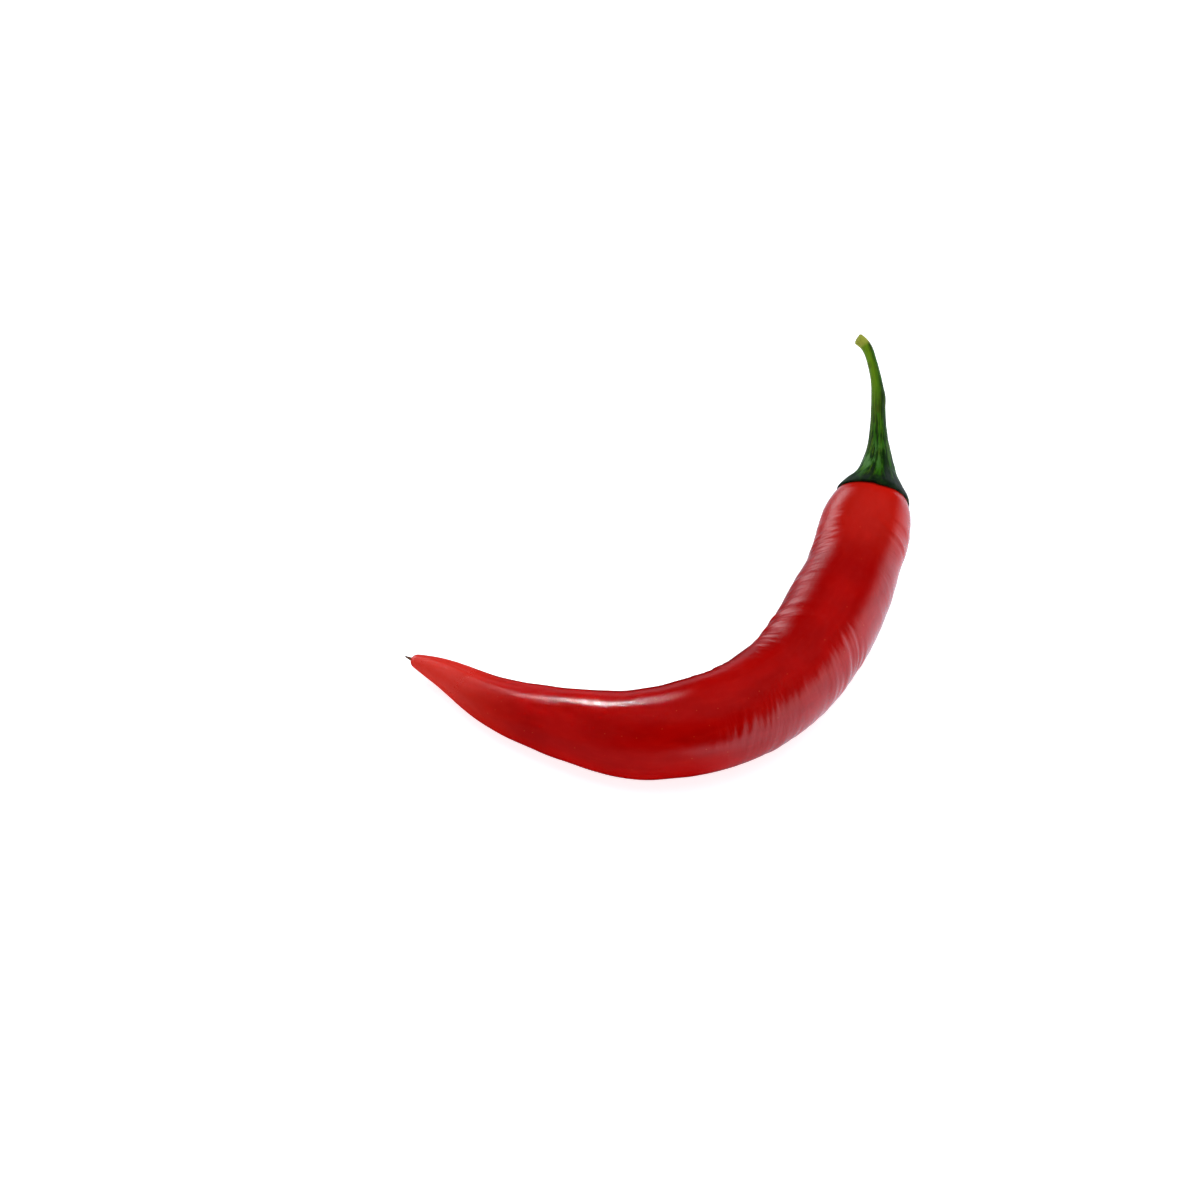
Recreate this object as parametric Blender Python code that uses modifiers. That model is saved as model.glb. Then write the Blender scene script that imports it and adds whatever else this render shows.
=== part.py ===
"""A long red chilli pepper lying on its side: fruit, calyx, stem and dried style.

Every piece is a profile turned round a straight axis and then bent along one guide line, which runs
from the style at the tip to the cut end of the stem. The origin is the middle of the footprint, on the
surface that the chilli rests on. Lengths below are in millimetres and are scaled to metres once.
"""

import bpy
import numpy as np

MM = 0.001

# Middle line of the chilli, tip to stem end: x, y and height above the surface.
GUIDE_POINTS = [
    (-50.9, -17.4, 3.8),
    (-43.2, -22.0, 4.3),
    (-34.0, -29.0, 5.0),
    (-19.7, -36.5, 6.95),
    (-3.7, -40.8, 8.85),
    (12.5, -37.6, 9.8),
    (25.7, -27.8, 9.9),
    (34.2, -13.9, 9.9),
    (40.0, 1.2, 10.2),
    (43.6, 13.35, 13.7),
    (45.4, 22.1, 16.9),
    (46.0, 31.8, 20.4),
    (45.8, 41.4, 24.1),
    (45.0, 45.3, 25.6),
    (43.6, 48.6, 26.9),
    (41.9, 49.6, 27.8),
]
GUIDE_STEPS = 12  # straight runs between two guide points

# Stations along the guide line, in millimetres from its start.
STYLE_ROOT = 0.6
TIP = 0.9
SHOULDER_TOP = 138.8
CALYX_RIM = 135.9
CALYX_TOP = 141.0
STEM_END = 172.8

GAP = 0.3  # between two pieces that touch
STEM_BASE_RADIUS = 4.2
STEM_END_RADIUS = 1.25
STYLE_RADIUS = 0.28
STYLE_END_RADIUS = 0.12

FRUIT_SIDES = 32
CALYX_SIDES = 32
STEM_SIDES = 18
STYLE_SIDES = 10

# Outer sides from the stem end down to the tip: radius and station.
FRUIT_SIDE = [
    (0.0, SHOULDER_TOP),
    (3.4, 138.4),
    (5.8, 137.3),
    (7.5, 135.4),
    (8.55, 133.0),
    (9.15, 129.5),
    (9.35, 125.0),
    (9.7, 116.5),
    (10.0, 104.0),
    (10.0, 92.0),
    (10.0, 80.0),
    (9.9, 69.0),
    (9.55, 60.5),
    (8.9, 52.5),
    (8.0, 44.5),
    (7.0, 36.5),
    (5.9, 28.0),
    (4.7, 19.0),
    (2.95, 9.0),
    (2.0, 4.9),
    (1.3, 2.5),
    (0.7, 1.2),
    (0.0, TIP),
]
CALYX_SIDE = [
    (4.3, CALYX_TOP),
    (5.1, 139.8),
    (6.2, 138.3),
    (7.15, 137.1),
    (7.75, CALYX_RIM),
]
STEM_SIDE = [
    (STEM_END_RADIUS, STEM_END),
    (1.2, 171.3),
    (1.08, 168.5),
    (1.08, 164.5),
    (1.25, 161.2),
    (1.45, 158.0),
    (1.6, 154.0),
    (1.88, 150.3),
    (2.2, 148.0),
    (2.65, 146.0),
    (3.2, 144.0),
    (3.75, 142.3),
    (STEM_BASE_RADIUS, CALYX_TOP + GAP),
]

FLOOR_CUTTER_SIZE = (140.0, 140.0, 10.0)

SKIN_RED = (0.46, 0.006, 0.004)
CALYX_GREEN = (0.012, 0.035, 0.010)
STEM_GREEN = (0.035, 0.110, 0.008)
STYLE_BROWN = (0.085, 0.035, 0.015)


def smooth_line(points, steps):
    """A natural cubic spline through points, with steps equal parts on each span."""
    points = np.array(points, float)
    spans = np.linalg.norm(np.diff(points, axis=0), axis=1)
    count = len(points)
    matrix = np.eye(count)
    right_side = np.zeros_like(points)
    for i in range(1, count - 1):
        before, after = spans[i - 1], spans[i]
        matrix[i, i - 1 : i + 2] = before, 2 * (before + after), after
        right_side[i] = 6 * ((points[i + 1] - points[i]) / after - (points[i] - points[i - 1]) / before)
    curvature = np.linalg.solve(matrix, right_side)
    line = []
    for i, span in enumerate(spans):
        for share in np.arange(steps) / steps:
            back = (1 - share) * span
            ahead = share * span
            bend = curvature[i] * (back**3 / span - span * back)
            bend += curvature[i + 1] * (ahead**3 / span - span * ahead)
            line.append(points[i] * (1 - share) + points[i + 1] * share + bend / 6)
    line.append(points[-1])
    return np.array(line)


def new_collection(name):
    collection = bpy.data.collections.new(name)
    bpy.context.scene.collection.children.link(collection)
    return collection


def make_material(name, colour, roughness):
    material = bpy.data.materials.new(name)
    material.use_nodes = True
    shader = material.node_tree.nodes["Principled BSDF"]
    shader.inputs["Base Color"].default_value = (*colour, 1.0)
    shader.inputs["Roughness"].default_value = roughness
    shader.inputs["Metallic"].default_value = 0.0
    return material


def make_guide(collection):
    """The bent middle line, which the turned pieces follow."""
    points = smooth_line(GUIDE_POINTS, GUIDE_STEPS) * MM
    curve = bpy.data.curves.new("guide_line", "CURVE")
    curve.dimensions = "3D"
    curve.use_deform_bounds = False
    spline = curve.splines.new("POLY")
    spline.points.add(len(points) - 1)
    for point, place in zip(spline.points, points):
        point.co = (*place, 1.0)
    guide = bpy.data.objects.new("guide_line", curve)
    guide.hide_render = True
    guide.display_type = "WIRE"
    collection.objects.link(guide)
    return guide


def bent_turning(name, profile, sides, guide, material, collection):
    """A solid turned from profile (radius, station), top to bottom, and bent along the guide."""
    mesh = bpy.data.meshes.new(name)
    places = [(radius * MM, 0.0, station * MM) for radius, station in profile]
    mesh.from_pydata(places, [(i, i + 1) for i in range(len(places) - 1)], [])
    mesh.materials.append(material)
    piece = bpy.data.objects.new(name, mesh)
    collection.objects.link(piece)
    turn = piece.modifiers.new("turn", "SCREW")
    turn.axis = "Z"
    turn.steps = sides
    turn.render_steps = sides
    turn.use_merge_vertices = True
    turn.merge_threshold = 0.00001
    turn.use_smooth_shade = True
    bend = piece.modifiers.new("bend", "CURVE")
    bend.object = guide
    bend.deform_axis = "POS_Z"
    return piece


def cut_level(piece, collection):
    """Takes off what is below the surface, which leaves the small flat that the fruit rests on."""
    bpy.ops.mesh.primitive_cube_add(size=1.0)
    cutter = bpy.context.active_object
    cutter.name = "floor_cutter"
    length, width, depth = (side * MM for side in FLOOR_CUTTER_SIZE)
    for corner in cutter.data.vertices:
        corner.co.x *= length
        corner.co.y *= width
        corner.co.z = (corner.co.z - 0.5) * depth
    for holder in list(cutter.users_collection):
        holder.objects.unlink(cutter)
    collection.objects.link(cutter)
    cutter.hide_render = True
    cutter.display_type = "WIRE"
    cut = piece.modifiers.new("level", "BOOLEAN")
    cut.operation = "DIFFERENCE"
    cut.solver = "EXACT"
    cut.object = cutter


def make_fruit(guide, parts, helpers):
    skin = make_material("red_skin", SKIN_RED, 0.2)
    profile = smooth_line(FRUIT_SIDE, 3)
    profile[[0, -1], 0] = 0.0
    fruit = bent_turning("fruit", profile, FRUIT_SIDES, guide, skin, parts)
    cut_level(fruit, helpers)


def make_calyx(guide, parts):
    """A shallow cup: its outside spreads from the stem's foot to the rim, its inside follows the shoulder."""
    green = make_material("calyx_green", CALYX_GREEN, 0.45)
    outside = smooth_line(CALYX_SIDE, 3)
    shoulder = smooth_line(FRUIT_SIDE, 3)
    normal = np.gradient(shoulder, axis=0)[:, ::-1] * (-1.0, 1.0)
    normal /= np.linalg.norm(normal, axis=1)[:, None]
    lifted = shoulder + normal * GAP
    inside = lifted[lifted[:, 1] > CALYX_RIM][::-1]
    inside[-1, 0] = 0.0
    profile = np.vstack([(0.0, CALYX_TOP), outside, inside])
    bent_turning("calyx", profile, CALYX_SIDES, guide, green, parts)


def make_stem(guide, parts):
    """The stalk: a funnel at the foot, a thin middle and a slightly swollen cut end."""
    green = make_material("stem_green", STEM_GREEN, 0.4)
    side = smooth_line(STEM_SIDE, 3)
    profile = np.vstack([(0.0, STEM_END), side, (0.0, side[-1, 1])])
    bent_turning("stem", profile, STEM_SIDES, guide, green, parts)


def make_style(guide, parts):
    """The dried thread of the flower that stays on the tip."""
    brown = make_material("style_brown", STYLE_BROWN, 0.8)
    profile = [(0.0, STYLE_ROOT), (STYLE_RADIUS, STYLE_ROOT), (STYLE_END_RADIUS, -STYLE_ROOT), (0.0, -STYLE_ROOT)]
    bent_turning("dried_style", profile, STYLE_SIDES, guide, brown, parts)


def main():
    for old in list(bpy.data.objects):
        bpy.data.objects.remove(old, do_unlink=True)
    parts = new_collection("chilli_pepper")
    helpers = new_collection("cutters_and_guides")
    guide = make_guide(helpers)
    make_fruit(guide, parts, helpers)
    make_calyx(guide, parts)
    make_stem(guide, parts)
    make_style(guide, parts)


main()
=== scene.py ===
import math
import bpy
import numpy as np
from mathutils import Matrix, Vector


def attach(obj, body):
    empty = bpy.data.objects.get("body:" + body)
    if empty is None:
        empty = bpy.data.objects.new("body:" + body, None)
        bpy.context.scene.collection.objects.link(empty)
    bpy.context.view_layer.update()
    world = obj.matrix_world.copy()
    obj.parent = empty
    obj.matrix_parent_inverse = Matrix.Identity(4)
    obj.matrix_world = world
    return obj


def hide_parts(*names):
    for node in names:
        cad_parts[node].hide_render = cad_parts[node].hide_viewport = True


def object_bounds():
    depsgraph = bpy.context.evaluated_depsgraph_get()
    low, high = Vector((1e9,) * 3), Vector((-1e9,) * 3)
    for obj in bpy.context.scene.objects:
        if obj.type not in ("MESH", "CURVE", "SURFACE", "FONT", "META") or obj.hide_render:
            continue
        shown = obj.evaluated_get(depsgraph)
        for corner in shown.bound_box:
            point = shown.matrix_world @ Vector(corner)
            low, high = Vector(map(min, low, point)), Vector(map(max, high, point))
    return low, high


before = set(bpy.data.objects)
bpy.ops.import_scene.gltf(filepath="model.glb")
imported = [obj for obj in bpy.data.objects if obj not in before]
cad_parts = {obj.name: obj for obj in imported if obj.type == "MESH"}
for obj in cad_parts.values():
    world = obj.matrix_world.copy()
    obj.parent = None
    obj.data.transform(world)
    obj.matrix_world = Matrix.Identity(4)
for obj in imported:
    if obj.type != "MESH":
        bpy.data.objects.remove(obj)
cadLow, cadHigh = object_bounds()

mm = 0.001
footprint = Vector(((cadLow.x + cadHigh.x) / 2, (cadLow.y + cadHigh.y) / 2, 0))
fineSteps = 4000  # points at which a smooth line is measured

# Lengths in the dictionaries are in millimetres, angles in degrees, unless a note says otherwise.
# A place on the chilli is its station, the distance along the middle line from the style,
# and its angle round that line: 0 on top, 90 on the outside of the bend, -90 on the inside.

middleLine = {
    "points": [  # x, y and height from the middle of the footprint, style to cut end of the stem
        (-51.15, -17.7, 3.8), (-43.45, -22.3, 4.3), (-34.25, -29.3, 5.0), (-19.95, -36.8, 6.95),
        (-3.95, -41.1, 8.85), (12.25, -37.9, 9.8), (25.45, -28.1, 9.9), (33.95, -14.2, 9.9),
        (39.75, 0.9, 10.2), (43.35, 13.05, 13.7), (45.15, 21.8, 16.9), (45.75, 31.5, 20.4),
        (45.55, 41.1, 24.1), (44.75, 45.0, 25.6), (43.35, 48.3, 26.9), (41.65, 49.3, 27.8),
    ],
}


def splineCurvature(points, spans):
    # second slopes m of a natural cubic spline: at each inner point, with a span before and a span after,
    # before * mBefore + 2 * (before + after) * m + after * mAfter = 6 * (slopeAfter - slopeBefore)
    count = len(points)
    matrix = np.eye(count)
    wanted = np.zeros_like(points)
    inner = np.arange(1, count - 1)
    matrix[inner, inner - 1] = spans[:-1]
    matrix[inner, inner] = 2 * (spans[:-1] + spans[1:])
    matrix[inner, inner + 1] = spans[1:]
    slopes = np.diff(points, axis=0) / spans[:, None]
    wanted[1:-1] = 6 * np.diff(slopes, axis=0)
    return np.linalg.solve(matrix, wanted)


def splineAt(points, where):
    # smooth line through the points at the chord lengths in where; before the start it runs on straight.
    # between two points, t of the way: (1 - t) * first + t * second + span squared / 6
    # * (((1 - t) cubed - (1 - t)) * mFirst + (t cubed - t) * mSecond)
    points = np.array(points, float)
    spans = np.linalg.norm(np.diff(points, axis=0), axis=1)
    knots = np.concatenate([[0], np.cumsum(spans)])
    bend = splineCurvature(points, spans)
    inside = np.clip(where, 0, knots[-1])
    i = np.clip(np.searchsorted(knots, inside, side="right") - 1, 0, len(spans) - 1)
    span = spans[i][:, None]
    ahead = ((inside - knots[i]) / spans[i])[:, None]
    back = 1 - ahead
    curve = points[i] * back + points[i + 1] * ahead
    curve += span**2 / 6 * ((back**3 - back) * bend[i] + (ahead**3 - ahead) * bend[i + 1])
    slope = (points[i + 1] - points[i]) / span
    slope += span / 6 * ((1 - 3 * back**2) * bend[i] + (3 * ahead**2 - 1) * bend[i + 1])
    return curve + slope * (where - inside)[:, None], slope


def chordLength(points):
    # sum of the straight distances between neighbouring points
    return float(np.linalg.norm(np.diff(np.array(points, float), axis=0), axis=1).sum())


def evenAlong(points, count):
    # chord lengths that cut the smooth line into equal parts: its length is summed in small steps, and the
    # wanted lengths, count of them evenly spaced, are read back between those steps
    fine = np.linspace(0, chordLength(points), fineSteps)
    curve, _ = splineAt(points, fine)
    length = np.concatenate([[0], np.cumsum(np.linalg.norm(np.diff(curve, axis=0), axis=1))])
    return np.interp(np.linspace(0, length[-1], count), length, fine)


def lineAt(stations):
    # middle of the chilli at each station, with the direction on, the way outwards and the way up:
    # outward = onward cross the table's up, made 1 long; up = outward cross onward
    fine = np.linspace(0, chordLength(middleLine["points"]), fineSteps)
    curve, _ = splineAt(middleLine["points"], fine)
    length = np.concatenate([[0], np.cumsum(np.linalg.norm(np.diff(curve, axis=0), axis=1))])
    where = np.interp(stations, length, fine) + np.minimum(stations, 0)
    centre, onward = splineAt(middleLine["points"], where)
    onward /= np.linalg.norm(onward, axis=1)[:, None]
    outward = np.cross(onward, (0, 0, 1))
    outward /= np.linalg.norm(outward, axis=1)[:, None]
    return centre, onward, outward, np.cross(outward, onward)


def bentRound(stations, radii, turns):
    # rings carried along the middle line: centre + radius * (cos(angle) * up + sin(angle) * outward)
    centre, _, outward, up = lineAt(stations.ravel())
    shape = stations.shape + (3,)
    angle = turns * 2 * np.pi
    spoke = np.cos(angle)[..., None] * up.reshape(shape)
    spoke = spoke + np.sin(angle)[..., None] * outward.reshape(shape)
    return centre.reshape(shape) + radii[..., None] * spoke


def softNoise(turns, along, cells, seed):
    # smooth noise, -1 to 1, closed round the turn: random heights at the corners of cells, mixed by the
    # share t of the cell gone, eased as t cubed * (t * (6 * t - 15) + 10)
    rows = int(np.ceil(along.max())) + 2
    heights = np.random.default_rng(seed).uniform(-1, 1, (rows, cells))
    across = (turns % 1) * cells
    i = np.floor(along).astype(int)
    j = np.floor(across).astype(int) % cells
    a = along - np.floor(along)
    b = across - np.floor(across)
    a = a**3 * (a * (6 * a - 15) + 10)
    b = b**3 * (b * (6 * b - 15) + 10)
    near = heights[i, j] * (1 - b) + heights[i, (j + 1) % cells] * b
    far = heights[i + 1, j] * (1 - b) + heights[i + 1, (j + 1) % cells] * b
    return near * (1 - a) + far * a


def ease(value, low, high):
    # t squared * (3 - 2 * t), with t the share of the way from low to high, held between 0 and 1
    t = np.clip((value - low) / (high - low), 0, 1)
    return t * t * (3 - 2 * t)


def hump(value, middle, reach):
    # e to the power of minus ((value - middle) / reach) squared
    return np.exp(-(((value - middle) / reach) ** 2))


def addPiece(name, points, straight, node):
    # a closed skin over rings of points, with one point, the ring's mean, on each end; straight is the same
    # skin before bending. the sum of corner * (corner cross corner) tells whether the faces look outwards
    rows, around = points.shape[:2]
    rings = points.reshape(-1, 3)
    ends = np.array([points[0].mean(axis=0), points[-1].mean(axis=0)])
    places = np.vstack([rings, ends]) * mm + (footprint.x, footprint.y, cadLow.z)
    unbent = np.vstack([straight.reshape(-1, 3), straight[0].mean(axis=0), straight[-1].mean(axis=0)])
    i, j = np.meshgrid(np.arange(rows - 1), np.arange(around), indexing="ij")
    after = (j + 1) % around
    here, beyond = i * around, (i + 1) * around
    quads = np.stack([here + j, here + after, beyond + after, beyond + j], axis=-1).reshape(-1, 4)
    ring = np.arange(around)
    first = np.stack([np.full(around, rows * around), (ring + 1) % around, ring], axis=-1)
    last = (rows - 1) * around
    second = np.stack([np.full(around, rows * around + 1), last + ring, last + (ring + 1) % around], axis=-1)
    triangles = np.vstack([first, second])
    fans = np.concatenate([places[quads[:, [0, 1, 2]]], places[quads[:, [0, 2, 3]]], places[triangles]])
    if np.einsum("ij,ij->i", fans[:, 0], np.cross(fans[:, 1], fans[:, 2])).sum() < 0:
        quads = quads[:, ::-1]
        triangles = triangles[:, ::-1]
    corners = np.concatenate([quads.ravel(), triangles.ravel()])
    sizes = np.concatenate([np.full(len(quads), 4), np.full(len(triangles), 3)])
    mesh = bpy.data.meshes.new(name)
    mesh.vertices.add(len(places))
    mesh.vertices.foreach_set("co", places.astype(np.float32).ravel())
    mesh.loops.add(len(corners))
    mesh.loops.foreach_set("vertex_index", corners.astype(np.int32))
    mesh.polygons.add(len(sizes))
    starts = np.concatenate([[0], np.cumsum(sizes)[:-1]])
    mesh.polygons.foreach_set("loop_start", starts.astype(np.int32))
    mesh.update(calc_edges=True)
    mesh.attributes.new("straight", "FLOAT_VECTOR", "POINT").data.foreach_set(
        "vector", unbent.astype(np.float32).ravel())
    mesh.shade_smooth()
    mesh.validate()
    piece = bpy.data.objects.new(name, mesh)
    bpy.context.scene.collection.objects.link(piece)
    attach(piece, "root")
    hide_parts(node)
    return piece


def unbentRound(stations, radii, turns):
    # the rings on a straight middle line, which the finishes read:
    # radius * cos(angle), radius * sin(angle), station
    angle = turns * 2 * np.pi
    return np.stack([radii * np.cos(angle), radii * np.sin(angle), stations], axis=-1)


fruit = {
    "side": [  # radius and station of the outside, from the shoulder down to the tip
        (0.0, 138.8), (3.4, 138.4), (5.8, 137.3), (7.5, 135.4), (8.55, 133.0), (9.15, 129.5),
        (9.35, 125.0), (9.7, 116.5), (10.0, 104.0), (10.0, 92.0), (10.0, 80.0), (9.9, 69.0),
        (9.55, 60.5), (8.9, 52.5), (8.0, 44.5), (7.0, 36.5), (5.9, 28.0), (4.7, 19.0), (3.0, 9.0),
        (2.15, 4.9), (1.6, 2.7), (1.05, 1.4), (0.0, 0.8),
    ],
    "rows": 640,
    "around": 148,
    "lobes": 0.018,  # share of the radius by which the section is three-sided near the shoulder
    "swell": 0.22,  # slow bumps and hollows of the body
    "folds": 0.17,  # fine creases across the skin
    "slant": 0.045,  # millimetres by which a crease runs on for each degree down the side
    "notches": 0.30,  # deeper creases on the inside of the bend
    "tipGroove": 0.3,  # the shallow furrow that runs from the tip
}


def fruitRadius(stations):
    # radius of the smooth body at a station
    fine = np.linspace(0, chordLength(fruit["side"]), 4000)
    side, _ = splineAt(fruit["side"], fine)
    return np.interp(stations, side[::-1, 1], side[::-1, 0])


def fruitRelief(stations, turns):
    # millimetres that stand out from the smooth body: swell * (slow noise + 0.35 * quicker noise)
    # + folds * (how far along the bend) * (how far down the side) * patches * (three noises of falling width)
    # - notches where a noise is above 0, to the power 1.5, on the inside and half as deep on the outside
    # - tipGroove * hump of the angle
    angle = ((turns + 0.5) % 1 - 0.5) * 360
    body = ease(stations, 6, 26) * (1 - ease(stations, 131, 136))
    relief = fruit["swell"] * body * softNoise(turns, stations / 11 + 0.4, 5, 11)
    relief += 0.35 * fruit["swell"] * body * softNoise(turns, stations / 4.5, 9, 12)
    bend = ease(stations, 58, 92) * (1 - ease(stations, 126, 134))
    slant = stations + fruit["slant"] * np.abs(angle)
    fine = softNoise(turns, slant / 0.9, 7, 21) + 0.9 * softNoise(turns, slant / 2.1, 5, 22)
    fine += 0.35 * softNoise(turns, slant / 0.45, 9, 23)
    patches = np.clip(0.5 + 0.75 * softNoise(turns, stations / 6, 5, 24), 0.08, 1.2)
    sides = 0.15 + 0.85 * ease(np.abs(angle), 8, 40)
    relief += fruit["folds"] * (0.12 + bend) * sides * patches * fine
    inner = ease(-angle, 35, 62) * (1 - ease(-angle, 125, 160))
    cuts = softNoise(turns, (stations + 0.02 * angle) / 4.2, 3, 31)
    relief -= fruit["notches"] * inner * bend * np.clip(cuts, 0, 1) ** 1.5
    outer = ease(angle, 40, 75) * (1 - ease(angle, 140, 170))
    cuts = softNoise(turns, (stations - 0.02 * angle) / 3.6, 5, 33)
    relief -= 0.5 * fruit["notches"] * outer * bend * np.clip(cuts, 0, 1) ** 1.5
    groove = hump(angle, -22 + 0.2 * stations, 15) * ease(stations, 4, 14) * (1 - ease(stations, 26, 40))
    return relief - fruit["tipGroove"] * groove


def makeFruit():
    # radius = side radius * (1 + lobes * cos(three times the angle, twisting slowly)) + relief, which fades
    # out where the radius is under 3; heights under the table are raised to it
    where = evenAlong(fruit["side"], fruit["rows"] + 2)[1:-1]
    side, _ = splineAt(fruit["side"], where)
    turns = np.arange(fruit["around"]) / fruit["around"]
    stations, turns = np.broadcast_arrays(side[:, 1:], turns)
    radii = np.broadcast_to(side[:, :1], stations.shape)
    lobes = fruit["lobes"] * ease(stations, 60, 110) * np.cos(2 * np.pi * (3 * turns - stations / 260))
    near = np.clip(radii / 3, 0, 1)
    radii = radii * (1 + lobes) + near * fruitRelief(stations, turns)
    points = bentRound(stations, radii, turns)
    points[..., 2] = np.maximum(points[..., 2], 0)  # the underside lies flat on the surface
    return addPiece("chilliSkin", points, unbentRound(stations, radii, turns), "fruit")


greenTop = {
    "side": [  # radius and station of the calyx and the stem in one line, from the rim to the cut end
        (7.95, 135.2), (7.6, 136.2), (7.0, 137.3), (6.2, 138.3), (5.1, 139.8), (4.3, 141.0),
        (3.75, 142.3), (3.2, 144.0), (2.65, 146.0), (2.2, 148.0), (1.88, 150.3), (1.6, 154.0),
        (1.45, 158.0), (1.25, 161.2), (1.08, 164.5), (1.08, 168.5), (1.2, 171.3), (1.25, 172.8),
    ],
    "split": 141.0,  # station where the calyx ends and the stem begins
    "ribs": 0.26,  # height of the ribs
    "ribTurn": 0.06,  # turns by which the ribs are set off from the top
}

calyx = {
    "rim": 136.35,
    "edge": 0.42,  # thickness at the rim
    "rounding": 0.22,  # how far the outside draws in at the rim
    "clear": 0.04,  # gap between the cup's inside and the shoulder
    "insideTop": 138.5,  # station where the inside closes
    "insideRows": 30,
    "teeth": 0.3,  # how far the five points reach down over the shoulder
    "drape": 0.8,  # extra reach on the outside of the bend
    "rows": 90,
    "around": 240,
}

stem = {
    "end": 172.8,
    "rows": 260,
    "around": 72,
    "bump": 0.22,  # height of the knot on the outside of the bend
    "bumpStation": 158.5,
    "dish": 0.25,  # depth of the cut face
    "ragged": 0.25,  # unevenness of the cut
    "endRows": 14,
}


def greenRadius(stations, turns):
    # side radius + ribs * strength * (|cos(2.5 * angle)| to the power 1.6 - 0.5 + 0.45 * narrow ribs)
    # + wobble * (radius / 4, held between 0.2 and 1) + one knot; strength is 0 at the rim, 1 on the calyx
    # and falls along the stem
    fine = np.linspace(0, chordLength(greenTop["side"]), fineSteps)
    side, _ = splineAt(greenTop["side"], fine)
    radius = np.interp(stations, side[:, 1], side[:, 0])
    angle = 2 * np.pi * (turns - greenTop["ribTurn"])
    strength = ease(stations, 135.6, 138.5) * (1 - 0.72 * ease(stations, 143, 152))
    strength = strength * (1 - 0.4 * ease(stations, 160, 170))
    broad = np.abs(np.cos(2.5 * angle)) ** 1.6 - 0.5
    narrow = 0.5 * np.cos(10 * angle + 0.7 * np.sin(3 * angle)) + 0.35 * np.cos(17 * angle + 1.3)
    narrow *= ease(stations, 136, 139) * (1 - 0.6 * ease(stations, 142, 149))
    wobble = 0.12 * softNoise(turns, stations / 3, 6, 41) * ease(stations, 135.5, 138.5)
    wobble += 0.05 * softNoise(turns, stations / 1.1, 12, 42)
    wobble = wobble * np.clip(radius / 4, 0.2, 1)
    radius = radius + greenTop["ribs"] * strength * (broad + 0.45 * narrow) + wobble
    angle = ((turns + 0.5) % 1 - 0.5) * 360
    return radius + stem["bump"] * hump(stations, stem["bumpStation"], 1.6) * hump(angle, 75, 50)


def calyxRim(turns):
    # station of the rim: rim - teeth * |cos(2.5 * angle)| to the power 5, which gives five points,
    # - drape * (hump on the outside + 0.45 * hump on the inside) + fray
    angle = 2 * np.pi * (turns - greenTop["ribTurn"])
    points = np.abs(np.cos(2.5 * angle)) ** 5
    degrees = ((turns + 0.5) % 1 - 0.5) * 360
    hang = hump(degrees, 105, 38) + 0.45 * hump(degrees, -95, 22)
    middle = turns * 0 + 0.5
    fray = 0.10 * softNoise(turns, middle, 34, 51) + 0.12 * softNoise(turns, middle, 13, 52)
    return calyx["rim"] - calyx["teeth"] * points - calyx["drape"] * hang + fray


def makeCalyx():
    # outside radius = the larger of the green radius and (shoulder radius + edge), less rounding by the rim;
    # inside radius = shoulder radius + clear
    rows, around = calyx["rows"], calyx["around"]
    turns = np.arange(around) / around
    share = np.linspace(0, 1, rows)[:, None]
    turns, share = np.broadcast_arrays(turns, share)
    rim = calyxRim(turns[:1])
    stations = greenTop["split"] + (rim - greenTop["split"]) * share
    outside = np.maximum(greenRadius(stations, turns), fruitRadius(stations) + calyx["edge"])
    outside = outside - calyx["rounding"] * ease(share, 0.94, 1)
    back = np.linspace(0, 1, calyx["insideRows"])[:, None] * np.ones((1, around))
    insideStations = rim + (calyx["insideTop"] - rim) * back
    inside = fruitRadius(insideStations) + calyx["clear"]
    inside[0] = fruitRadius(rim[0]) + 1.5 * calyx["clear"]
    allStations = np.vstack([stations, insideStations])
    allRadii = np.vstack([outside, inside])
    allTurns = np.vstack([turns, np.broadcast_to(turns[0], back.shape)])
    points = bentRound(allStations, allRadii, allTurns)
    straight = unbentRound(allStations, allRadii, allTurns)
    return addPiece("calyxCup", points, straight, "calyx")


def makeStem():
    # radius = green radius, drawn in by up to 0.35 of itself over the last bit; the cut face runs from that
    # radius to 0.05 of it, and its station = end + fibre + ragged - dish * (1 - share of the radius squared)
    rows, around = stem["rows"], stem["around"]
    turns = np.arange(around) / around
    stations = np.linspace(greenTop["split"] - 0.05, stem["end"], rows)[:, None]
    stations, turns = np.broadcast_arrays(stations, turns)
    radii = greenRadius(stations, turns)
    radii = radii * (1 - ease(stations, stem["end"] - 0.35, stem["end"] + 0.1) * 0.35)
    share = np.linspace(1, 0.05, stem["endRows"])[1:, None]
    ends = share * radii[-1]
    endTurns = np.broadcast_to(turns[0], ends.shape)
    fibre = 0.10 * softNoise(endTurns, 6 - ends * 3, 16, 61)
    ragged = stem["ragged"] * softNoise(turns, turns * 0 + 0.5, 7, 62)
    endStations = stem["end"] + fibre + ragged[0] * share - stem["dish"] * (1 - share**2)
    stations = stations + ease(stations, stem["end"] - 1.2, stem["end"]) * ragged
    allStations = np.vstack([stations, endStations])
    allRadii = np.vstack([radii, ends])
    allTurns = np.vstack([turns, endTurns])
    points = bentRound(allStations, allRadii, allTurns)
    straight = unbentRound(allStations, allRadii, allTurns)
    return addPiece("stemStalk", points, straight, "stem")


style = {
    "start": -0.6,
    "end": 1.2,
    "radius": 0.38,
    "kink": 0.12,
    "rows": 60,
    "around": 28,
    "dark": (0.05, 0.018, 0.006),
    "light": (0.26, 0.10, 0.03),
}


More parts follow.
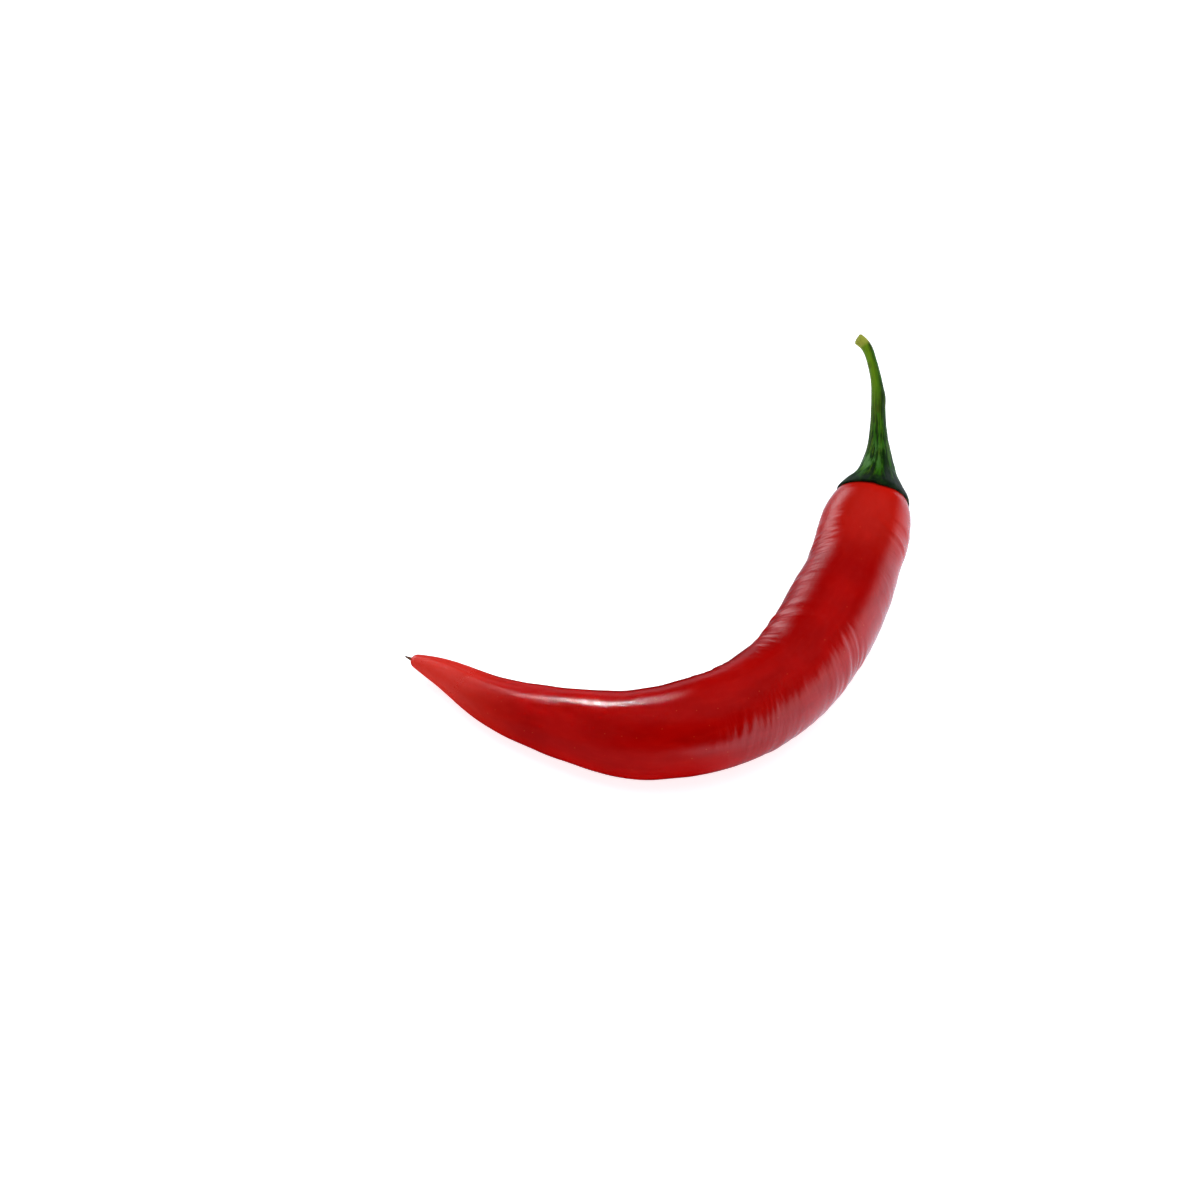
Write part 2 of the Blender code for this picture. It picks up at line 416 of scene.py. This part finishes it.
def makeStyle():
    # a shrivelled thread: radius * (0.4 + 0.6 * share) * (0.8 + 0.25 * cos(four turns + 5 * share)),
    # rounded off at the free end, + noise; the free end is lifted by kink * hump of the share
    rows, around = style["rows"], style["around"]
    turns = np.arange(around) / around
    stations = np.linspace(style["start"], style["end"], rows)[:, None]
    stations, turns = np.broadcast_arrays(stations, turns)
    share = (stations - style["start"]) / (style["end"] - style["start"])
    radii = style["radius"] * (0.4 + 0.6 * share) * (0.8 + 0.25 * np.cos(2 * np.pi * 4 * turns + 5 * share))
    radii = radii * (0.35 + 0.65 * ease(share, 0, 0.12)) + 0.04 * softNoise(turns, share * 9, 6, 71)
    points = bentRound(stations, radii, turns)
    points[..., 2] += style["kink"] * hump(share, 0.05, 0.25)
    return addPiece("driedStyle", points, unbentRound(stations, radii, turns), "dried_style")


class Wire:
    # a socket that takes part in sums, so that 1 - mask adds its Math node
    def __init__(self, finish, socket):
        self.finish, self.socket = finish, socket

    def sum(self, operation, first, second):
        return self.finish.node("ShaderNodeMath", {"operation": operation}, {0: first, 1: second})

    def __add__(self, other):
        return self.sum("ADD", self, other)

    def __radd__(self, other):
        return self.sum("ADD", other, self)

    def __sub__(self, other):
        return self.sum("SUBTRACT", self, other)

    def __rsub__(self, other):
        return self.sum("SUBTRACT", other, self)

    def __mul__(self, other):
        return self.sum("MULTIPLY", self, other)

    def __rmul__(self, other):
        return self.sum("MULTIPLY", other, self)

    def __truediv__(self, other):
        return self.sum("DIVIDE", self, other)

    def __rtruediv__(self, other):
        return self.sum("DIVIDE", other, self)


class Finish:
    # one material: its nodes, and the steps that the finishes share
    def __init__(self, name):
        self.material = bpy.data.materials.new(name)
        self.material.use_nodes = True
        self.tree = self.material.node_tree
        self.shader = self.tree.nodes["Principled BSDF"]

    def node(self, kind, settings, sockets, output=0):
        made = self.tree.nodes.new(kind)
        for setting, value in settings.items():
            setattr(made, setting, value)
        for key, value in sockets.items():
            self.feed(made.inputs[key], value)
        return Wire(self, made.outputs[output])

    def feed(self, socket, value):
        if isinstance(value, Wire):
            self.tree.links.new(value.socket, socket)
        elif socket.type == "RGBA" and len(value) == 3:
            socket.default_value = (*value, 1)
        else:
            socket.default_value = value

    def straight(self):
        # place on the piece before bending: cos and sin of the angle times the radius, then the station
        return self.node("ShaderNodeAttribute", {"attribute_name": "straight"}, {}, "Vector")

    def stretched(self, vector, scale):
        return self.node("ShaderNodeVectorMath", {"operation": "MULTIPLY"}, {0: vector, 1: scale})

    def added(self, first, second):
        return self.node("ShaderNodeVectorMath", {"operation": "ADD"}, {0: first, 1: second})

    def split(self, vector):
        return [self.node("ShaderNodeSeparateXYZ", {}, {0: vector}, axis) for axis in range(3)]

    def noise(self, vector, scale, detail=3.0, roughness=0.5, distortion=0.0):
        sockets = {"Vector": vector, "Scale": scale, "Detail": detail, "Roughness": roughness}
        return self.node("ShaderNodeTexNoise", {}, sockets | {"Distortion": distortion})

    def band(self, value, low, high):
        # 0 at low, 1 at high, smooth between
        sockets = {0: value, 1: low, 2: high, 3: 0.0, 4: 1.0}
        return self.node("ShaderNodeMapRange", {"interpolation_type": "SMOOTHSTEP"}, sockets)

    def mix(self, share, first, second):
        settings = {"data_type": "RGBA", "blend_type": "MIX", "clamp_factor": True}
        return self.node("ShaderNodeMix", settings, {0: share, 6: first, 7: second}, 2)

    def bump(self, height, distance, normal=None):
        sockets = {"Height": height, "Distance": distance, "Strength": 1.0}
        if normal is not None:
            sockets["Normal"] = normal
        return self.node("ShaderNodeBump", {}, sockets)

    def surface(self, **values):
        for key, value in values.items():
            self.feed(self.shader.inputs[shaderSockets[key]], value)
        return self.material


shaderSockets = {
    "colour": "Base Color", "roughness": "Roughness", "bumps": "Normal", "ior": "IOR",
    "specular": "Specular IOR Level", "scatter": "Subsurface Weight", "scatterReach": "Subsurface Radius",
    "scatterScale": "Subsurface Scale", "glow": "Emission Color", "glowStrength": "Emission Strength",
}

skinLook = {
    "red": (0.50, 0.0008, 0.0004),
    "deep": (0.40, 0.0004, 0.0003),
    "orange": (0.95, 0.032, 0.014),
    "speck": (0.75, 0.14, 0.05),
    "roughness": 0.15,
    "gloss": 1.5,  # refractive index
    "grain": 0.00003,  # metres of height in the fine grain of the skin
    "creases": 0.00006,
    "tipReach": (34.0, 4.0),  # stations over which the tip turns orange, and its share
    "tipShare": 0.75,
    "shoulderReach": (112.0, 132.0),
    "shoulderShare": 0.3,
    "satinReach": (26.0, 12.0),  # stations over which the tip turns satin, and the roughness that it gains
    "satinGain": 0.14,
    "mottleShare": 0.08,
    "speckScale": 0.75,
    "speckShare": 0.3,
    "scatter": 0.06,
}


def skinFinish():
    # deep red to red by a slow cloud, orange in fine mottling and on both ends, and rare pale specks
    # roughness = roughness + 0.10 * (grain - 0.5) + 0.06 * (cloud - 0.5) + satinGain * (tip mask)
    skin = Finish("redSkin")
    straight = skin.straight()
    along = skin.split(straight)[2]
    cloud = skin.noise(skin.stretched(straight, (1, 1, 0.5)), 0.16, 3.0)
    mottle = skin.noise(skin.stretched(straight, (1, 1, 0.35)), 0.9, 4.0, 0.6)
    colour = skin.mix(skin.band(cloud, 0.35, 0.68), skinLook["deep"], skinLook["red"])
    colour = skin.mix(skin.band(mottle, 0.45, 0.8) * skinLook["mottleShare"], colour, skinLook["orange"])
    tip = skin.band(along, *skinLook["tipReach"]) * skinLook["tipShare"]
    satin = skin.band(along, *skinLook["satinReach"]) * skinLook["satinGain"]
    shoulder = skin.band(along, *skinLook["shoulderReach"]) * skinLook["shoulderShare"]
    ends = skin.node("ShaderNodeMath", {"operation": "MAXIMUM"}, {0: tip, 1: shoulder})
    colour = skin.mix(ends, colour, skinLook["orange"])
    cells = {"Vector": straight, "Scale": skinLook["speckScale"]}
    dots = skin.node("ShaderNodeTexVoronoi", {"feature": "F1"}, cells, "Distance")
    rarity = skin.node("ShaderNodeTexVoronoi", {"feature": "F1"}, cells, "Color")
    chosen = skin.band(skin.split(rarity)[0], 0.55, 0.8)
    specks = skin.band(dots, 0.13, 0.04) * chosen
    colour = skin.mix(specks * skinLook["speckShare"], colour, skinLook["speck"])
    creases = skin.noise(skin.stretched(straight, (0.16, 0.16, 1.6)), 1.0, 4.0, 0.55)
    grain = skin.noise(straight, 5.5, 3.0, 0.6)
    bumps = skin.bump(creases, skinLook["creases"])
    bumps = skin.bump(grain, skinLook["grain"], bumps)
    roughness = skinLook["roughness"] + (grain - 0.5) * 0.10 + (cloud - 0.5) * 0.06 + satin
    return skin.surface(
        colour=colour, roughness=roughness, bumps=bumps, ior=skinLook["gloss"], scatter=skinLook["scatter"],
        scatterReach=(1.0, 0.12, 0.05), scatterScale=0.0015)


greenLook = {
    "dark": (0.003, 0.020, 0.0008),
    "collar": (0.003, 0.010, 0.004),
    "leaf": (0.024, 0.125, 0.0010),
    # lit: the yellow-green painted on the side turned to the light, and also the colour of the stem's own
    # paler threads
    "lit": (0.14, 0.29, 0.002),
    "pale": (0.44, 0.46, 0.07),
    "brown": (0.06, 0.05, 0.005),
    "dry": (0.13, 0.12, 0.02),
    # painted sheen: the bluish-white highlight on the calyx's foot
    "paintedSheen": (0.14, 0.30, 0.11),
    "specular": 0.13,
    "bumps": 0.0002,  # metres of height in the fibres
    "run": 0.22,  # how fast the fibres change along the stem
    "fibreCount": 3.2,
    "threadCount": 9.0,
    "collarShare": 0.9,
    "endReach": (169.9, 171.2),  # stations over which the cut end turns pale, and its share
    "endShare": 0.8,
}


def greenFinish(name, roughness):
    # fibres run lengthwise: noise over the direction round the stem * count + the station * run
    # dark to leaf green by the fibres, with painted light: yellower and lighter on the side turned to the
    # light, which is outward / (0.6 + 0.12 * (172 - along)) from 0.5 down to -0.5, and a painted bluish sheen
    # on the foot on that side; with a dark collar and a pale cut end
    green = Finish(name)
    straight = green.straight()
    upward, outward, along = green.split(straight)
    level = green.stretched(straight, (1, 1, 0))
    around = green.node("ShaderNodeVectorMath", {"operation": "NORMALIZE"}, {0: level})
    lengthwise = green.stretched(straight, (0, 0, greenLook["run"]))
    fibreCount, threadCount = greenLook["fibreCount"], greenLook["threadCount"]
    coarse = green.added(green.stretched(around, (fibreCount, fibreCount, 0)), lengthwise)
    fine = green.added(green.stretched(around, (threadCount, threadCount, 0)), lengthwise)
    fibres = green.noise(coarse, 1.0, 4.0, 0.6, 0.3)
    threads = green.noise(fine, 1.0, 3.0, 0.6)
    patches = green.noise(straight, 0.35, 3.0)
    colour = green.mix(green.band(fibres, 0.42, 0.60), greenLook["dark"], greenLook["leaf"])
    upper = green.band(along, 148.0, 167.0)
    # painted light: 1 on the side turned to the light, towards the inside of the bend, and 0 on the shaded
    # side
    paintedLitSide = green.band(outward / (0.6 + 0.12 * (172.0 - along)), 0.5, -0.5)  # towards the inside of the bend
    # painted light: the upper stem turns lit yellow-green almost only on the side turned to the light; the
    # fibre streaks are the stem's own paler threads, drawn stronger on that side
    colour = green.mix(upper * (0.06 + 0.94 * paintedLitSide), colour, greenLook["lit"])
    streaks = green.band(threads, 0.52, 0.66) * (0.25 + 0.2 * upper + 0.4 * paintedLitSide)
    colour = green.mix(streaks, colour, greenLook["lit"])
    # painted sheen: a bluish-white highlight painted on the fibres of the calyx's foot, on the side turned to
    # the light
    foot = green.band(along, 139.5, 141.5) * green.band(along, 149.0, 145.0)
    paintedSheenMask = green.band(fibres, 0.5, 0.62) * foot
    colour = green.mix(paintedSheenMask * paintedLitSide * 0.5, colour, greenLook["paintedSheen"])
    brownish = green.band(patches, 0.50, 0.64) * green.band(along, 141.0, 148.0)
    colour = green.mix(brownish * green.band(fibres, 0.45, 0.6) * 0.6, colour, greenLook["brown"])
    collar = green.band(along + (fibres - 0.5) * 9.0, 141.2, 137.6)
    colour = green.mix(collar * greenLook["collarShare"], colour, greenLook["collar"])
    dry = green.band(along + (threads - 0.5) * 1.6, 136.5, 135.9) * green.band(threads, 0.48, 0.56)
    colour = green.mix(dry * 0.6, colour, greenLook["dry"])
    end = green.band(along, *greenLook["endReach"])
    colour = green.mix(end * greenLook["endShare"], colour, greenLook["pale"])
    core = green.band(upward * upward + outward * outward, 0.7, 0.2) * green.band(along, 172.2, 172.6)
    colour = green.mix(core * 0.6, colour, greenLook["brown"])
    bumps = green.bump(fibres * 0.6 + threads * 0.4, greenLook["bumps"])
    uneven = roughness + (threads - 0.5) * 0.25
    return green.surface(colour=colour, roughness=uneven, bumps=bumps, specular=greenLook["specular"])


def styleFinish():
    # dry brown fibres, dark to light
    brown = Finish("dryStyle")
    straight = brown.straight()
    fibres = brown.noise(brown.stretched(straight, (9.0, 9.0, 1.5)), 1.0, 4.0, 0.6)
    colour = brown.mix(brown.band(fibres, 0.35, 0.7), style["dark"], style["light"])
    uneven = 0.75 + (fibres - 0.5) * 0.3
    return brown.surface(colour=colour, roughness=uneven, bumps=brown.bump(fibres, 0.00008))


print("shaping the fruit")
skinPiece = makeFruit()
skinPiece.data.materials.append(skinFinish())
print("shaping the calyx and the stem")
calyxPiece = makeCalyx()
calyxPiece.data.materials.append(greenFinish("calyxGreen", 0.52))
stemPiece = makeStem()
stemPiece.data.materials.append(greenFinish("stemGreen", 0.5))
print("shaping the style")
stylePiece = makeStyle()
stylePiece.data.materials.append(styleFinish())

studio = {
    "floor": (0.84, 0.85, 0.87),
    "floorGlow": 0.8,
    "floorRoughness": 0.7,
    "glossFade": (0.006, 0.046),  # metres to the right over which the reflected floor brightens
    "glossColour": (0.95, 1.02, 1.18),
    "glossBehind": 0.4,  # share of that brightness in the floor behind the chilli
    "glossAway": (0.02, 0.06),  # metres beyond the middle over which that part comes in
    "cardColour": (0.92, 0.95, 1.0),
    "air": (0.9, 0.94, 1.0),
    "airStrength": 0.02,
    "distance": 0.69,  # metres from the camera to the point it looks at
    "elevation": 50,
    "lens": 100,
    "lookAt": (-0.01216, 0.00071, 0.0),  # metres from the middle of the footprint
}

# azimuth 0 is beyond the chilli as the camera sees it, 90 to the right; distances and sizes in metres,
# powers in watts, aims in millimetres from the middle of the footprint
lights = {
    "overhead": {"azimuth": 20, "elevation": 72, "distance": 1.6, "size": (2.2, 2.2), "power": 27},
    "fill left": {"azimuth": -110, "elevation": 30, "distance": 1.3, "size": (1.5, 1.0), "power": 4},
    "fill right": {"azimuth": 100, "elevation": 30, "distance": 1.3, "size": (1.5, 1.0), "power": 4},
    "tip grid left": {
        "azimuth": -25, "elevation": 41, "distance": 0.40, "size": (0.02, 0.06), "power": 0.00055,
        "aim": (-25, -34, 12), "spread": 2, "glossy": True,
    },
    "tip grid right": {
        "azimuth": -20, "elevation": 37, "distance": 0.40, "size": (0.02, 0.07), "power": 0.00105,
        "aim": (-10, -38, 14), "spread": 2, "glossy": True,
    },
}
cards = {
    "leftCard": {"azimuth": -50, "elevation": 14, "distance": 1.2, "size": (1.3, 1.0), "strength": 3.0},
    "rightCard": {"azimuth": 99, "elevation": 8, "distance": 1.2, "size": (2.2, 0.9), "strength": 1.3},
}


def wayTo(azimuth, elevation):
    # (sin(azimuth) * cos(elevation), cos(azimuth) * cos(elevation), sin(elevation)), towards the lamp
    a, e = math.radians(azimuth), math.radians(elevation)
    return Vector((math.sin(a) * math.cos(e), math.cos(a) * math.cos(e), math.sin(e)))


def glowSheet(name):
    # an emitting material of its own, with masks made from the place on the sheet
    sheet = Finish(name)
    across, up, _ = sheet.split(sheet.node("ShaderNodeTexCoord", {}, {}, "Object"))
    return sheet, across, up


def makeFloor():
    # the table that the camera sees, and just under it the sheet that the gloss sees in its place: bright to
    # the right, dim beyond the chilli, black under the tip. brightness = right + behind * (1 - right)
    bpy.ops.mesh.primitive_plane_add(size=6)
    floor = bpy.context.active_object
    floor.name = "floor"
    paper = Finish("palePaper")
    floor.data.materials.append(paper.surface(
        colour=studio["floor"], roughness=studio["floorRoughness"], specular=0.0, glow=(0.97, 0.98, 1.0),
        glowStrength=studio["floorGlow"]))
    floor.visible_glossy = False
    bpy.ops.mesh.primitive_plane_add(size=3, location=(0, 0, -0.0002))
    mirrored = bpy.context.active_object
    mirrored.name = "glossFloor"
    mirrored.visible_camera = mirrored.visible_diffuse = mirrored.visible_shadow = False
    sheet, across, away = glowSheet("glossSheet")
    # painted shade: the black part of this sheet, to the left and under the tip, stands in for the chilli's
    # shadow on the table as the gloss sees it
    bright = sheet.band(across, *studio["glossFade"])
    behind = sheet.band(away, *studio["glossAway"]) * studio["glossBehind"]
    colour = sheet.mix(bright + behind * (1 - bright), (0, 0, 0), studio["glossColour"])
    mirrored.data.materials.append(
        sheet.surface(colour=(0, 0, 0), specular=0.0, glow=colour, glowStrength=1.0))


def softLight(name, azimuth, elevation, distance, size, power, aim=(0, 0, 0), spread=180, glossy=False):
    # a flat lamp that faces the aim; place = aim + way * distance
    data = bpy.data.lights.new(name, "AREA")
    data.shape = "RECTANGLE"
    data.size, data.size_y = size
    data.energy = power
    data.spread = math.radians(spread)
    light = bpy.data.objects.new(name, data)
    way = wayTo(azimuth, elevation)
    light.location = footprint + Vector(aim) * mm + way * distance
    light.rotation_euler = way.to_track_quat("Z", "Y").to_euler()
    light.visible_glossy = glossy
    bpy.context.scene.collection.objects.link(light)


def glossCard(name, azimuth, elevation, distance, size, strength):
    # a sheet that only the gloss sees; brightness = product of four fades in from its edges
    way = wayTo(azimuth, elevation)
    bpy.ops.mesh.primitive_plane_add(size=1, location=footprint + way * distance)
    card = bpy.context.active_object
    card.name = name
    card.rotation_euler = way.to_track_quat("Z", "Y").to_euler()
    card.scale = (*size, 1)
    card.visible_camera = card.visible_diffuse = card.visible_shadow = False
    sheet, across, up = glowSheet(name)
    mask = sheet.band(across, -0.5, -0.38) * sheet.band(across, 0.5, 0.2)
    mask = mask * sheet.band(up, -0.5, -0.2) * sheet.band(up, 0.5, 0.05)
    colour = sheet.mix(mask, (0, 0, 0), studio["cardColour"])
    card.data.materials.append(
        sheet.surface(colour=(0, 0, 0), specular=0.0, glow=colour, glowStrength=strength))


def makeWorld():
    # a faint even light that the gloss doesn't see
    world = bpy.data.worlds.new("room")
    world.use_nodes = True
    background = world.node_tree.nodes["Background"]
    background.inputs["Color"].default_value = (*studio["air"], 1)
    background.inputs["Strength"].default_value = studio["airStrength"]
    world.cycles_visibility.glossy = False
    bpy.context.scene.world = world


def makeCamera():
    # place = point looked at + distance * (0, -cos(elevation), sin(elevation))
    data = bpy.data.cameras.new("camera")
    data.lens = studio["lens"]
    data.sensor_width = 36
    data.clip_start, data.clip_end = 0.01, 20
    camera = bpy.data.objects.new("camera", data)
    e = math.radians(studio["elevation"])
    back = Vector((0, -math.cos(e), math.sin(e)))
    camera.location = footprint + Vector(studio["lookAt"]) + back * studio["distance"]
    camera.rotation_euler = back.to_track_quat("Z", "Y").to_euler()
    bpy.context.scene.collection.objects.link(camera)
    bpy.context.scene.camera = camera


print("setting up the table, the lights and the camera")
makeFloor()
for name, light in lights.items():
    softLight(name, **light)
for name, card in cards.items():
    glossCard(name, **card)
makeWorld()
makeCamera()
bpy.context.scene.view_settings.view_transform = "Standard"
